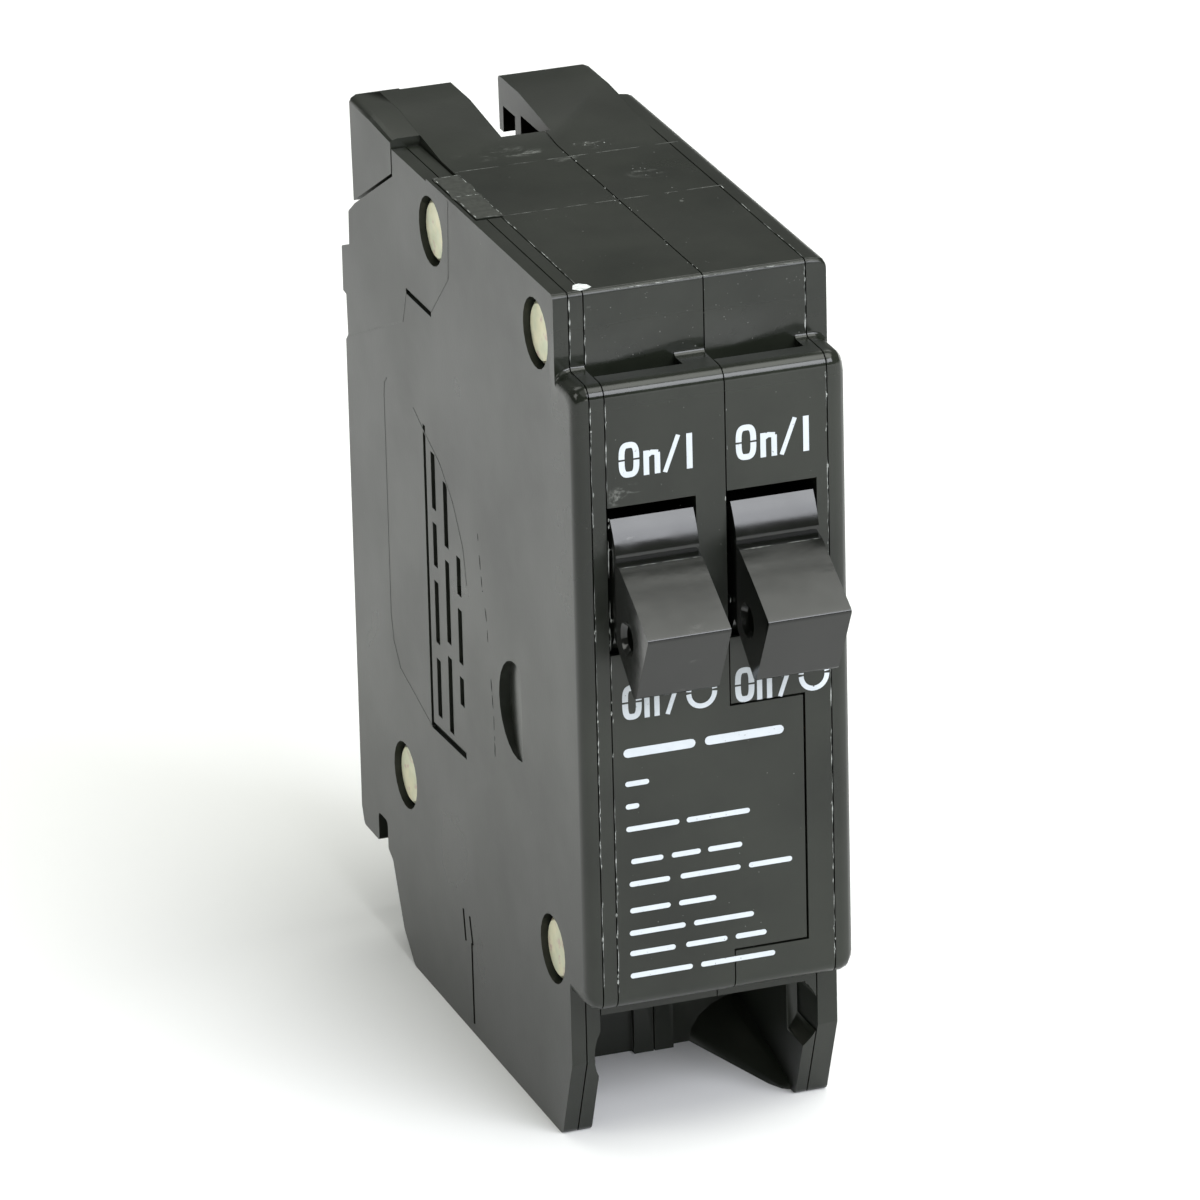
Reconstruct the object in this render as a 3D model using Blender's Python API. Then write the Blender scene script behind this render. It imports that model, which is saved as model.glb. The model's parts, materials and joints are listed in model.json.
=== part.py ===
"""Twin plug-on circuit breaker, one inch wide, as an assembly of separate pieces.

The drawing's units are a little under a millimetre, so that its whole width comes out at one
panel space. x runs across from left to right, y back from the front plane of the shoulder, and
z up from the top of the case. place() turns drawing units into metres, with the origin at the
bottom centre of the whole object. Both levers are at OFF.
"""
import bmesh
import bpy
from math import atan2, cos, hypot, pi, radians, sin, tan
from mathutils import Vector

# Overall size. The width of one panel space sets the size of a drawing unit, in metres.
PANEL_SPACE = 0.0254
LEFT_X = -12.7
OUTER_X = 13.25
UNIT = PANEL_SPACE / (OUTER_X - LEFT_X)
CENTRE_X = (LEFT_X + OUTER_X) / 2
BOTTOM_Z = -82.8
HORN_Z = 1.3
BACK_Y = 60.1
NOSE_Y = -4.96
NOSE_TOP_Z = -7.3
NOSE_BOTTOM_Z = -67.6
NOSE_ROUND = 1.35
TOP_ROUND = 0.6
HORN_ROUND = 0.8
SHELF_SLOT = {"front": -2.2, "depth": 1.6}

# Planes between the mouldings, with the gap that is left between two of them.
SEAM = 0.12
COVER_X = -11.25
LINER_X = -9.83
MIDDLE_X = 1.53
RIGHT_X = 11.27

# The two pole cavities: the side walls of each, and the plane that its mechanism sits on.
POLES = {
    "left": {"low": -9.83, "high": -1.37, "arm": -6.3},
    "right": {"low": 1.53, "high": 10.15, "arm": 5.9},
}

# Toggle handles, (y, z) of the pivot. Angles are from the front, upwards.
HANDLE_PIVOT = (3.9, -25.9)
DRUM_RADIUS = 10.65
DRUM_WALL = 1.7
DRUM_TOP = 34
DRUM_BOTTOM = -72
DRUM_DIP = 0.35
SPOKE = {"upper": 3, "lower": -22, "hub": 3.2, "hub_upper": 25, "hub_lower": -40}
SKIRT_START = -29
HANDLE_WIDTH = 7.9
HANDLE_THROW = 25
LEVER_TIP = (-14.35, -28.25)
LEVER_TIP_LOW = (-11.2, -34.2)
LEVER_FOLD = (-7.05, -23.86)
LEVER_ROOT = (-5.0, -30.8)
TIE_HOLE = (-8.75, -30.0)
TIE_RADIUS = 1.2
TIE_SINK = 0.45
PIN_RADIUS = 1.2
RUNNING_GAP = 0.3
WINDOW = (-33.0, -18.87)

# Contact arm, driven by a slot in the handle's tail.
ARM_PIVOT = (17.0, -30.0)
ARM_THROW = 15
ARM_RATIO = ARM_THROW / HANDLE_THROW
ARM_OUTER_X = 1.6
ARM_HUB = 2.3
ARM_HALF = 1.1
ARM_NECK = 4
ARM_LENGTH = 21.6
TAIL_HALF = 0.5
TAIL_TIP = 0.9
CONTACT_RADIUS = (17.4, 20.6)
CONTACT_HALF = 1.4
ARM_REST = 12
ARM_CLOSED = ARM_REST + ARM_THROW
FORK = {"notch": 1.35, "prong": 2.75, "mouth": 6.2, "root": 1.6}
PIVOT_PIN = 1.0
PIVOT_BORE = 1.3

# Stab slot in the rear horns, and the line jaw in it.
SLOT = {"low": -2.75, "high": 2.05, "front": 41.8, "floor": -15.5}
SLOT_WALL = 1.5
JAW_Z = (-12.8, -4.5)
JAW_PLATE_Y = (42.7, 43.9)
JAW_FINGER = 0.9
STRAP_HALF = 1.8

# Windows in the right horn's inner wall, (y, z) ranges, and the opening behind the rear one.
HORN_WINDOWS = {"front": ((44.6, 50.1), (-9.5, -0.8)), "rear": ((51.7, 55.1), (-9.5, -1.4))}
HORN_DOOR = {"right": 4.6, "y": (50.4, 57.5), "z": (-9.0, -4.0)}

# Trip unit.
CRADLE_PIVOT = (14.0, -46.0)
ARMATURE_PIVOT = (36.1, -62.5)
BIMETAL_Y = 40.0
BIMETAL_Z = (-67.6, -41.0)
YOKE_Z = (-59.5, -47.5)
SPRING = {"y": 23.5, "radius": 1.35, "wire": 0.32, "turns": 6, "top": -31.6}
CRADLE_TOP = 2.4
SET_SCREW_Z = -52
SET_SCREW_RADIUS = 1.3
SET_SCREW_HOLE = 1.9

# Load terminals.
SCREW_Z = -72.5
SCREW_RADIUS = 1.5
SCREW_HEAD = 2.7
SCREW_FACE_Y = 15.9
SCREW_NECK_Y = 18.2
SCREW_END_Y = 24.2
SCREW_CHAMFER = 0.4
CLAMP = {"outer": 3.75, "inner": 2.75, "y": (21.4, 34.0), "room": (23.0, 32.4), "z": (-78.2, -68.6)}
WIRE_Y = 28.6
WIRE_HOLE = 3.65
POCKET_TOP = -70.1
POCKET_BACK = 18.2
POCKET_RIB = {"low": -0.45, "high": 3.45, "front": 17.4}

# Ramp at the foot of the pocket's right wall: y, then the x of its foot and its rise.
RAMP_WALL = 10.8
WIRE_RAMP = [(4.3, 10.1, 0.4), (4.8, 9.45, 0.7), (6.2, 8.72, 1.15), (POCKET_BACK + 0.6, 5.1, 4.4)]

# Round clearances for a screwdriver in the pocket's side walls: (x, z) of the middle, and radius.
TOOL_ROOM = {"left": (-5.6, -74.1, 4.9), "right": (6.7, -73.6, 4.85)}
TOOL_ROOM_BACK = 5.0

# Rivets, (y, z) of each.
RIVETS = {
    "top_rear": (33.46, -4.77),
    "top_front": (4.885, -5.116),
    "bottom_rear": (45.9, -63.5),
    "bottom_front": (4.52, -64.8),
}
RIVET_HOLE = 3.3
RIVET_HEAD = 2.95
RIVET_SHANK = 1.5

# Label plate: a tongue of the left case in the front of the right pole.
LABEL_PLATE = {"x": (0.8, 8.5), "back": -3.0, "z": (-63.4, -39.6)}
LABEL_GAP = 0.22

# Half-moon recess in the left face, whose floor ramps from the face to the full depth.
THUMB = {"centre": (13.0, -44.6), "radius": 4.7, "proud": 0.55, "depth": 1.1}

# Middle of the whole depth, from the rounded tip of the lever to the rear tab.
LEVER_FRONT_Y = -14.234
MIDDLE_Y = (LEVER_FRONT_Y + BACK_Y) / 2

# Side outline of the mouldings: (y, z, corner radius), from the front of the shoulder down.
FRONT_AND_BACK = [
    (0, "top", 0.5), (0, "nose_top", 0.5), ("nose", "nose_top", 1.3), ("nose", "nose_low", 1.2),
    (0, "nose_low", 0.4), (0, -74.65, 0.6), (3.1, BOTTOM_Z, 0.8), (44.9, BOTTOM_Z, 1.2),
    (47.8, -80.1, 0.8), (50.6, -74.1, 0.8), (51.9, -73.4, 0.3), (51.9, -70.6, 0.5),
    (54.6, -70.6, 0.5), (54.6, -73.6, 0.3), (59.0, -73.6, 0.6), (59.7, -71.9, 0.5),
    (59.7, -24.1, 0.4), (59.0, -23.4, 0), (59.2, -19.4, 0), (BACK_Y, -19.3, 0),
    (BACK_Y, -14.8, 0.3), (57.8, -14.0, 0.2), (57.7, -10.6, 0.3),
]
HORN_RAMP = (38.5, 50.5)
HORN_TOP = [(56.0, -9.2, 0.3), (56.4, "horn", 0.4), (HORN_RAMP[1], "horn", 0), (HORN_RAMP[0], "top", 0)]
LEFT_TOP = [
    (55.7, -9.2, 0.2), (44.2, -2.9, 0.2), (44.2, -0.25, 0), (34.4, -0.25, 0), (34.4, "top", 0),
]
RIGHT_TOP = [(55.7, -9.2, 0.2), (50.2, -6.2, 0.2), (50.2, "top", 0.2)]

# The left horn reaches over the cover behind this plane. Its outer edge is rounded by steps, each
# a distance in from the face and a drop below the top. A tab of the case lies on the cover.
HORN_FRONT_Y = 44.5
HORN_EDGE = [(0, 0.7), (0.2, 0.3), (0.7, 0.02)]
TAB = {"x": (-12.2, -9.6), "y": (21.9, 34.1), "top": 0.06, "thickness": 0.9}

# Room for one pole's mechanism: (y, z, corner radius).
CAVITY = [
    (8.4, -1.6, 0.5), (8.4, -10.3, 0.5), (-3.3, -10.3, 0.5), (-3.3, -61.2, 0.5), (8.2, -61.2, 0.5),
    (8.2, -66, 0.5), (19.3, -66, 0), (19.3, -81.2, 0.5), (44.2, -81.2, 0.5), (46.2, -79.3, 0.5),
    (49.6, -72.4, 0.5), (50.3, -69, 0.5), (58.1, -69, 0.5), (58.1, -25, 0.5),
    (57.4, -15.5, 0.5), (56.2, -11.5, 0.5), (54.6, -10.4, 0.5), (54.6, -0.4, 0.5),
    (50, -0.4, 0), (40.5, -1.7, 0), (37, -1.7, 0), (37, -8.3, 0.5), (30, -8.3, 0.5), (30, -1.6, 0),
]

# Side view of the walls around the stab slot, which end inside the rear wall and the ceiling.
SLOT_WALLS = [(40.4, -17), (57.7, -17), (57.0, -12), (55.5, -9.9), (55.5, 0.1), (40.4, 0.1)]

# Rows of engraved bars on the left face: y of the row, then each bar's upper end and length.
NOTICE_ROWS = [
    (34.9, [(-27.0, 5.6), (-34.0, 4.3), (-39.8, 6.2), (-47.6, 5.8)]),
    (31.6, [(-28.8, 6.4), (-36.6, 8.2), (-46.2, 7.6)]),
    (28.3, [(-35.0, 3.8), (-40.2, 5.4), (-47.0, 2.8)]),
]

COLOURS = {
    "case": ((0.055, 0.058, 0.052), 0.42, 0.0),
    "handle": ((0.075, 0.076, 0.078), 0.34, 0.0),
    "zinc": ((0.82, 0.76, 0.58), 0.3, 1.0),
    "steel": ((0.55, 0.55, 0.56), 0.35, 1.0),
    "copper": ((0.78, 0.42, 0.26), 0.32, 1.0),
    "silver": ((0.86, 0.86, 0.84), 0.28, 1.0),
    "bimetal": ((0.62, 0.58, 0.5), 0.4, 1.0),
}


def clear_scene():
    for item in list(bpy.data.objects):
        bpy.data.objects.remove(item, do_unlink=True)


def place(x, y, z):
    """Drawing units to metres, origin at the bottom centre."""
    return Vector((x - CENTRE_X, y - MIDDLE_Y, z - BOTTOM_Z)) * UNIT


def polar(centre, radius, degrees):
    return (centre[0] + radius * cos(radians(degrees)), centre[1] + radius * sin(radians(degrees)))


def arc(centre, radius, start, end, steps):
    return [polar(centre, radius, start + (end - start) * i / steps) for i in range(steps + 1)]


def pole_middle(side):
    return (POLES[side]["low"] + POLES[side]["high"]) / 2


def front_arc(radius, start, end, steps):
    """Arc about the handle's pivot, with angles from the front upwards."""
    return arc(HANDLE_PIVOT, radius, 180 - start, 180 - end, steps)


def filleted(corners, steps=3):
    """Replaces each corner (a, b, radius) with an arc of that radius."""
    outline = []
    for index, (a, b, radius) in enumerate(corners):
        corner = Vector((a, b))
        if radius == 0:
            outline.append((a, b))
            continue
        before = (Vector(corners[index - 1][:2]) - corner).normalized()
        after = (Vector(corners[(index + 1) % len(corners)][:2]) - corner).normalized()
        half = before.angle(after) / 2
        centre = corner + (before + after).normalized() * radius / sin(half)
        start = corner + before * radius / tan(half) - centre
        end = corner + after * radius / tan(half) - centre
        first = atan2(start.y, start.x)
        sweep = (atan2(end.y, end.x) - first + pi) % (2 * pi) - pi
        for step in range(steps + 1):
            angle = first + sweep * step / steps
            outline.append((centre.x + radius * cos(angle), centre.y + radius * sin(angle)))
    return outline


def point_on(axis, along, a, b):
    """A profile's point (a, b): (y, z) along x, (x, z) along y, and (x, y) along z."""
    if axis == "x":
        return place(along, a, b)
    if axis == "y":
        return place(a, along, b)
    return place(a, b, along)


def loft(name, slices, axis, colour, origin=(0, 0, 0), smooth_angle=None):
    """A closed solid through slices (along, outline) that all have the same number of points."""
    mesh = bmesh.new()
    start = Vector(origin)
    rings = []
    for along, outline in slices:
        rings.append([mesh.verts.new(point_on(axis, along, a, b) - start) for a, b in outline])
    mesh.faces.new(rings[0])
    mesh.faces.new(reversed(rings[-1]))
    count = len(rings[0])
    for low, high in zip(rings, rings[1:]):
        for i in range(count):
            j = (i + 1) % count
            mesh.faces.new((low[i], low[j], high[j], high[i]))
    bmesh.ops.recalc_face_normals(mesh, faces=mesh.faces)
    return add_object(name, mesh, colour, start, smooth_angle)


def add_object(name, mesh, colour, start, smooth_angle=None):
    data = bpy.data.meshes.new(name)
    mesh.to_mesh(data)
    mesh.free()
    if smooth_angle:
        data.shade_smooth()
        data.set_sharp_from_angle(angle=radians(smooth_angle))
    item = bpy.data.objects.new(name, data)
    item.location = start
    bpy.context.scene.collection.objects.link(item)
    if colour:
        data.materials.append(finish(name, colour))
    return item


def finish(name, colour):
    tint, roughness, metallic = COLOURS[colour]
    material = bpy.data.materials.new(name)
    material.use_nodes = True
    shader = material.node_tree.nodes["Principled BSDF"]
    shader.inputs["Base Color"].default_value = (*tint, 1)
    shader.inputs["Roughness"].default_value = roughness
    shader.inputs["Metallic"].default_value = metallic
    material.diffuse_color = (*tint, 1)
    return material


def solid(name, profile, axis, low, high, colour, origin=(0, 0, 0)):
    return loft(name, [(low, profile), (high, profile)], axis, colour, origin)


def rod(name, axis, centre, radius, low, high, colour, sides=20, origin=(0, 0, 0)):
    ring = arc(centre, radius, 0, 360 * (1 - 1 / sides), sides - 1)
    return loft(name, [(low, ring), (high, ring)], axis, colour, origin, 40)


def block(name, xs, ys, zs, colour, origin=(0, 0, 0)):
    profile = [(ys[0], zs[0]), (ys[1], zs[0]), (ys[1], zs[1]), (ys[0], zs[1])]
    return solid(name, profile, "x", xs[0], xs[1], colour, origin)


def combine(target, tool, operation):
    modifier = target.modifiers.new(tool.name, "BOOLEAN")
    modifier.operation = operation
    modifier.solver = "EXACT"
    modifier.object = tool
    tool.hide_render = True
    tool.display_type = "WIRE"
    return target


def cut(target, *tools):
    for tool in tools:
        combine(target, tool, "DIFFERENCE")
    return target


def join(target, *tools):
    for tool in tools:
        combine(target, tool, "UNION")
    return target


def side_outline(top, nose_inset=0.0, top_inset=0.0, horn_inset=0.0):
    """The mouldings' side outline. The insets draw the named edges in, to round them."""
    named = {
        "nose": NOSE_Y + nose_inset,
        "nose_top": NOSE_TOP_Z - nose_inset,
        "nose_low": NOSE_BOTTOM_Z + nose_inset,
        "top": -top_inset,
        "horn": HORN_Z - horn_inset,
    }
    corners = [(named.get(y, y), named.get(z, z), radius) for y, z, radius in FRONT_AND_BACK + top]
    return filleted(corners)


def rounded_cover(name, outer_x, inner_x, top, top_round):
    """A cover plate whose nose, and top edge if asked, are rounded towards its outer face."""
    side = 1 if inner_x > outer_x else -1
    slices = []
    for degrees in (0, 30, 60, 90):
        rise = 1 - sin(radians(degrees))
        along = outer_x + side * NOSE_ROUND * (1 - cos(radians(degrees)))
        slices.append((along, side_outline(top, NOSE_ROUND * rise, top_round * rise)))
    slices.append((inner_x, side_outline(top)))
    return loft(name, slices, "x", "case")


def rivet_holes(target, radius, low, high):
    for place_name, centre in RIVETS.items():
        label = f"cut_{target.name}_{place_name}_{low:.0f}"
        cut(target, rod(label, "x", centre, radius, low, high, None, 22))


def thumb_recess():
    """Half-moon recess: a round hole whose floor ramps up towards the front."""
    ring = arc(THUMB["centre"], THUMB["radius"], 0, 345, 23)
    slope = (THUMB["proud"] + THUMB["depth"]) / (2 * THUMB["radius"])
    middle_x = LEFT_X + (THUMB["depth"] - THUMB["proud"]) / 2
    mesh = bmesh.new()
    outer = [mesh.verts.new(place(LEFT_X - 1, y, z)) for y, z in ring]
    inner = []
    for y, z in ring:
        inner.append(mesh.verts.new(place(middle_x + slope * (y - THUMB["centre"][0]), y, z)))
    mesh.faces.new(outer)
    mesh.faces.new(reversed(inner))
    for i in range(len(ring)):
        j = (i + 1) % len(ring)
        mesh.faces.new((outer[i], outer[j], inner[j], inner[i]))
    bmesh.ops.recalc_face_normals(mesh, faces=mesh.faces)
    return add_object("cut_thumb_recess", mesh, None, Vector((0, 0, 0)))


def groove(name, start, end, width, depth=0.4):
    """A straight groove in the left face, from start to end, both (y, z)."""
    run = hypot(end[0] - start[0], end[1] - start[1])
    across = ((start[1] - end[1]) / run * width / 2, (end[0] - start[0]) / run * width / 2)
    corners = [
        (start[0] + across[0], start[1] + across[1]),
        (end[0] + across[0], end[1] + across[1]),
        (end[0] - across[0], end[1] - across[1]),
        (start[0] - across[0], start[1] - across[1]),
    ]
    return solid(name, corners, "x", LEFT_X - 1, LEFT_X + depth, None)


def left_cover():
    cover = rounded_cover("left_cover", LEFT_X, COVER_X - SEAM / 2, LEFT_TOP, 0)
    cut(cover, tab_bed("cut_cover_bed"))
    rivet_holes(cover, RIVET_HOLE, LEFT_X - 1, COVER_X + 1)
    cut(cover, thumb_recess())
    lines = {
        "frame_long": ((37.2, -25.0), (37.2, -55.2), 0.7),
        "frame_foot": ((37.4, -55.0), (27.6, -54.6), 0.7),
        "short": ((41.2, -13.1), (34.1, -13.1), 0.55),
        "strip_long": ((27.7, -73.6), (27.6, -81.8), 0.45),
        "strip_mark": ((29.9, -70.9), (29.4, -74.0), 0.45),
        "strip_tick": ((28.1, -71.0), (27.4, -73.7), 0.45),
    }
    for name, (start, end, width) in lines.items():
        cut(cover, groove(f"cut_groove_{name}", start, end, width))
    for name, start, end in notice_bars():
        cut(cover, groove(f"cut_bar_{name}", start, end, 1.15, 0.35))
    return cover


def notice_bars():
    """Plain engraved bars in three rows, which stand for the moulded notices on the left face."""
    bars = []
    for row, (y, tops) in enumerate(NOTICE_ROWS):
        for index, (top, length) in enumerate(tops):
            bars.append((f"{row}_{index}", (y, top), (y, top - length)))
    return bars


def left_liner():
    low, high = COVER_X + SEAM / 2, LINER_X - SEAM / 2
    liner = solid("left_liner", side_outline(LEFT_TOP), "x", low, high, "case")
    rivet_holes(liner, RIVET_SHANK + RUNNING_GAP, COVER_X - 1, LINER_X + 1)
    cut(liner, tab_bed("cut_liner_bed"), tool_room("cut_liner_tool_room", "left"))
    return liner


def tab_bed(name):
    """Bed in the cover and the liner for the case's tab."""
    (left, right), (front, back) = TAB["x"], TAB["y"]
    floor = TAB["top"] - TAB["thickness"] - RUNNING_GAP
    ys = (front - RUNNING_GAP, back + RUNNING_GAP)
    return block(name, (left - 0.1, right + 1), ys, (floor, 1), None)


def case_tab():
    """Tab of the left case on the cover's top, with a foot that reaches into the case."""
    (left, right), ys = TAB["x"], TAB["y"]
    floor = TAB["top"] - TAB["thickness"]
    tab = block("add_tab", (left, right), ys, (floor, TAB["top"]), None)
    foot = block("add_tab_foot", (left + 1, right + 1.5), ys, (floor, -0.1), None)
    return [tab, foot]


def tool_room(name, side):
    """Round clearance along y, cut off at the pocket's ceiling."""
    x, z, radius = TOOL_ROOM[side]
    ring = arc((x, z), radius, 0, 350, 35)
    profile = [(a, min(b, POCKET_TOP)) for a, b in ring]
    return solid(name, profile, "y", -2, TOOL_ROOM_BACK, None)


def horn_corner(high):
    """The part of the left horn that reaches over the cover, with a rounded outer top edge."""
    share = (HORN_FRONT_Y - HORN_RAMP[0]) / (HORN_RAMP[1] - HORN_RAMP[0])
    last_drop = HORN_EDGE[-1][1]
    steps = [(LEFT_X + inset, drop) for inset, drop in HORN_EDGE] + [(high, last_drop)]
    slices = []
    for x, drop in steps:
        top, front_top = HORN_Z - drop, (HORN_Z - drop) * share
        outline = [(HORN_FRONT_Y, -2.7), (55.95, -9.0), (56.38, top), (HORN_RAMP[1], top),
                   (HORN_FRONT_Y, front_top)]
        slices.append((x, outline))
    return loft("add_horn_corner", slices, "x", None)


def pole_cavity(side, low, high):
    return solid(f"cut_room_{side}", filleted(CAVITY, 2), "x", low, high, None)


def slot_walls(name, low, high):
    """Walls of the stab slot, which stand in a pole's room."""
    return solid(name, SLOT_WALLS, "x", low, high, None)


def case_openings(side, low, high):
    """Handle window with its drum relief, terminal pocket, screw and wire holes, and rear hole."""
    middle = pole_middle(side)
    label = f"cut_{side}"
    relief = front_arc(DRUM_RADIUS + RUNNING_GAP, -80, 55, 18) + [HANDLE_PIVOT]
    return [
        block(f"{label}_window", (low, high), (NOSE_Y - 1, 0), WINDOW, None),
        solid(f"{label}_relief", relief, "x", low, high, None),
        block(f"{label}_shelf_slot", (low, high), (SHELF_SLOT["front"], 0),
              (NOSE_TOP_Z - SHELF_SLOT["depth"], NOSE_TOP_Z + 0.6), None),
        rod(f"{label}_screw_hole", "y", (middle, SCREW_Z), SCREW_HEAD + RUNNING_GAP, 15, 21, None),
        rod(f"{label}_wire_hole", "z", (middle, WIRE_Y), WIRE_HOLE, BOTTOM_Z - 1, -80, None, 24),
        rod(f"{label}_set_hole", "y", (middle, SET_SCREW_Z), SET_SCREW_HOLE, 56, 62, None, 16),
    ]


def wire_ramp():
    """Rounded ramp along the foot of the pocket's right wall, rising towards the back."""
    slices = []
    for y, foot, rise in WIRE_RAMP:
        hump = []
        for turn in range(0, 91, 18):
            across = (RAMP_WALL - foot) * cos(radians(turn))
            hump.append((RAMP_WALL - across, BOTTOM_Z + rise * sin(radians(turn))))
        slices.append((y, hump + [(RAMP_WALL, BOTTOM_Z)]))
    return loft("add_wire_ramp", slices, "y", None)


def terminal_pocket(name):
    """Room under the nose, open in front and below, with a rib between the two poles."""
    low, high = LINER_X - 1, POLES["right"]["high"]
    left, right, front = POCKET_RIB["low"], POCKET_RIB["high"], POCKET_RIB["front"]
    plan = [(low, -6), (high, -6), (high, POCKET_BACK), (right, POCKET_BACK), (right, front),
            (left, front), (left, POCKET_BACK), (low, POCKET_BACK)]
    return loft(name, [(BOTTOM_Z - 1, plan), (POCKET_TOP, plan)], "z", None)


def slot_cutters(label):
    top = HORN_Z + 1
    slot = block(f"cut_{label}_slot", (SLOT["low"], SLOT["high"]), (SLOT["front"], BACK_Y + 1),
                 (SLOT["floor"], top), None)
    plate = block(f"cut_{label}_plate", (SLOT["low"] - 3, SLOT["high"] + 3),
                  (JAW_PLATE_Y[0] - RUNNING_GAP, JAW_PLATE_Y[1] + RUNNING_GAP),
                  (JAW_Z[0] - RUNNING_GAP, JAW_Z[1] + RUNNING_GAP), None)
    return [slot, plate]


def left_case():
    low, high = LINER_X + SEAM / 2, MIDDLE_X - SEAM / 2
    case = solid("left_case", side_outline(HORN_TOP), "x", low, high, "case")
    join(case, horn_corner(low + 2), *case_tab())
    cut(case, pole_cavity("left", low - 1, POLES["left"]["high"]))
    join(case, slot_walls("add_left_slot_walls", SLOT["low"] - SLOT_WALL, high - 1))
    cut(case, *slot_cutters("left"))
    cut(case, *case_openings("left", low - 1, POLES["left"]["high"]))
    cut(case, terminal_pocket("cut_left_pocket"))
    join(case, label_plate())
    rivet_holes(case, RIVET_SHANK + RUNNING_GAP, low - 1, high + 1)
    return case


def label_plate():
    """Tongue of the left case that reaches into the front of the right pole."""
    return block("add_label_plate", LABEL_PLATE["x"], (NOSE_Y, LABEL_PLATE["back"]), LABEL_PLATE["z"], None)


def label_gap(low):
    """Opening in the right case for the label plate."""
    zs = (LABEL_PLATE["z"][0] - LABEL_GAP, LABEL_PLATE["z"][1] + LABEL_GAP)
    ys = (NOSE_Y - 1, LABEL_PLATE["back"] + RUNNING_GAP)
    return block("cut_label_gap", (low, LABEL_PLATE["x"][1] + LABEL_GAP), ys, zs, None)


def right_case():
    low, high = MIDDLE_X + SEAM / 2, RIGHT_X - SEAM / 2
    slices = [(low, side_outline(HORN_TOP)), (high - HORN_ROUND, side_outline(HORN_TOP)),
              (high - 0.25, side_outline(HORN_TOP, horn_inset=0.25)),
              (high, side_outline(HORN_TOP, horn_inset=HORN_ROUND))]
    case = loft("right_case", slices, "x", "case")
    cut(case, pole_cavity("right", low - 1, POLES["right"]["high"]))
    join(case, slot_walls("add_right_slot_walls", low + 0.05, SLOT["high"] + SLOT_WALL))
    cut(case, *slot_cutters("right"))
    cut(case, *case_openings("right", low - 1, POLES["right"]["high"]))
    cut(case, terminal_pocket("cut_right_pocket"))
    cut(case, tool_room("cut_right_tool_room", "right"))
    join(case, wire_ramp())
    cut(case, label_gap(low - 1))
    wall = (SLOT["high"] - 1, SLOT["high"] + SLOT_WALL + 0.3)
    for label, (ys, zs) in HORN_WINDOWS.items():
        cut(case, block(f"cut_horn_window_{label}", wall, ys, zs, None))
    cut(case, block("cut_horn_door", (wall[0], HORN_DOOR["right"]), HORN_DOOR["y"], HORN_DOOR["z"], None))
    rivet_holes(case, RIVET_SHANK + RUNNING_GAP, low - 1, high + 1)
    return case


def right_cover():
    cover = rounded_cover("right_cover", OUTER_X, RIGHT_X + SEAM / 2, RIGHT_TOP, TOP_ROUND)
    rivet_holes(cover, RIVET_HOLE, RIGHT_X - 1, OUTER_X + 1)
    return cover


def rivet(name, centre):
    """Tubular rivet: a shank through all the mouldings with a flat head in each cover."""
    left, right = COVER_X + SEAM / 2 - RUNNING_GAP, RIGHT_X - SEAM / 2 + RUNNING_GAP
    thick, edge, crown = 0.5, 0.25, 0.35
    steps = [(left - thick - edge, RIVET_HEAD - crown), (left - thick, RIVET_HEAD), (left, RIVET_HEAD),
             (left, RIVET_SHANK), (right, RIVET_SHANK), (right, RIVET_HEAD),
             (right + thick, RIVET_HEAD), (right + thick + edge, RIVET_HEAD - crown)]
    slices = [(x, arc(centre, radius, 0, 345, 23)) for x, radius in steps]
    return loft(name, slices, "x", "zinc", smooth_angle=40)


def handle_outline():
    """The drum's face, the lever, the skirt below it, and the spoke to the hub."""
    inner = DRUM_RADIUS - DRUM_WALL
    outline = front_arc(DRUM_RADIUS, DRUM_TOP, 16, 8)
    outline += [polar(HANDLE_PIVOT, DRUM_RADIUS - DRUM_DIP / 4, 180 - 14.2)]
    dip = polar(HANDLE_PIVOT, DRUM_RADIUS - DRUM_DIP, 180 - 12.4)
    lever = [(*dip, 0), (*LEVER_FOLD, 0.08), (*LEVER_TIP, 0.35), (*LEVER_TIP_LOW, 0.6), (*LEVER_ROOT, 0)]
    outline += filleted(lever, 4)[:-1]
    outline += front_arc(DRUM_RADIUS, SKIRT_START, DRUM_BOTTOM, 12)
    outline += front_arc(inner, DRUM_BOTTOM, SPOKE["lower"], 10)
    outline += [polar(HANDLE_PIVOT, SPOKE["hub"], 180 - SPOKE["hub_lower"])]
    outline += hub_and_tail()
    outline += [polar(HANDLE_PIVOT, SPOKE["hub"], 180 - SPOKE["hub_upper"])]
    outline += front_arc(inner, SPOKE["upper"], DRUM_TOP, 8)
    return outline


def handle(side):
    """Toggle handle: a drum skirt on a spoke, a square lever, and a forked tail for the arm."""
    middle = pole_middle(side)
    low, high = middle - HANDLE_WIDTH / 2, middle + HANDLE_WIDTH / 2
    start = place(middle, *HANDLE_PIVOT)
    body = solid(f"{side}_handle", handle_outline(), "x", low, high, "handle", start)
    name = f"cut_{side}_handle_bore"
    bore = rod(name, "x", HANDLE_PIVOT, PIN_RADIUS + RUNNING_GAP, low - 1, high + 1, None)
    wide = TIE_RADIUS + TIE_SINK + 1
    steps = [(low - 1, wide), (low + TIE_SINK, TIE_RADIUS), (high - TIE_SINK, TIE_RADIUS), (high + 1, wide)]
    slices = [(x, arc(TIE_HOLE, radius, 0, 345, 23)) for x, radius in steps]
    return cut(body, bore, loft(f"cut_{side}_handle_tie", slices, "x", None))


def link_line():
    """Angle and length of the line from the handle's pivot to the arm's pivot."""
    run, rise = ARM_PIVOT[0] - HANDLE_PIVOT[0], ARM_PIVOT[1] - HANDLE_PIVOT[1]
    return atan2(rise, run) * 180 / pi, hypot(run, rise)


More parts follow.
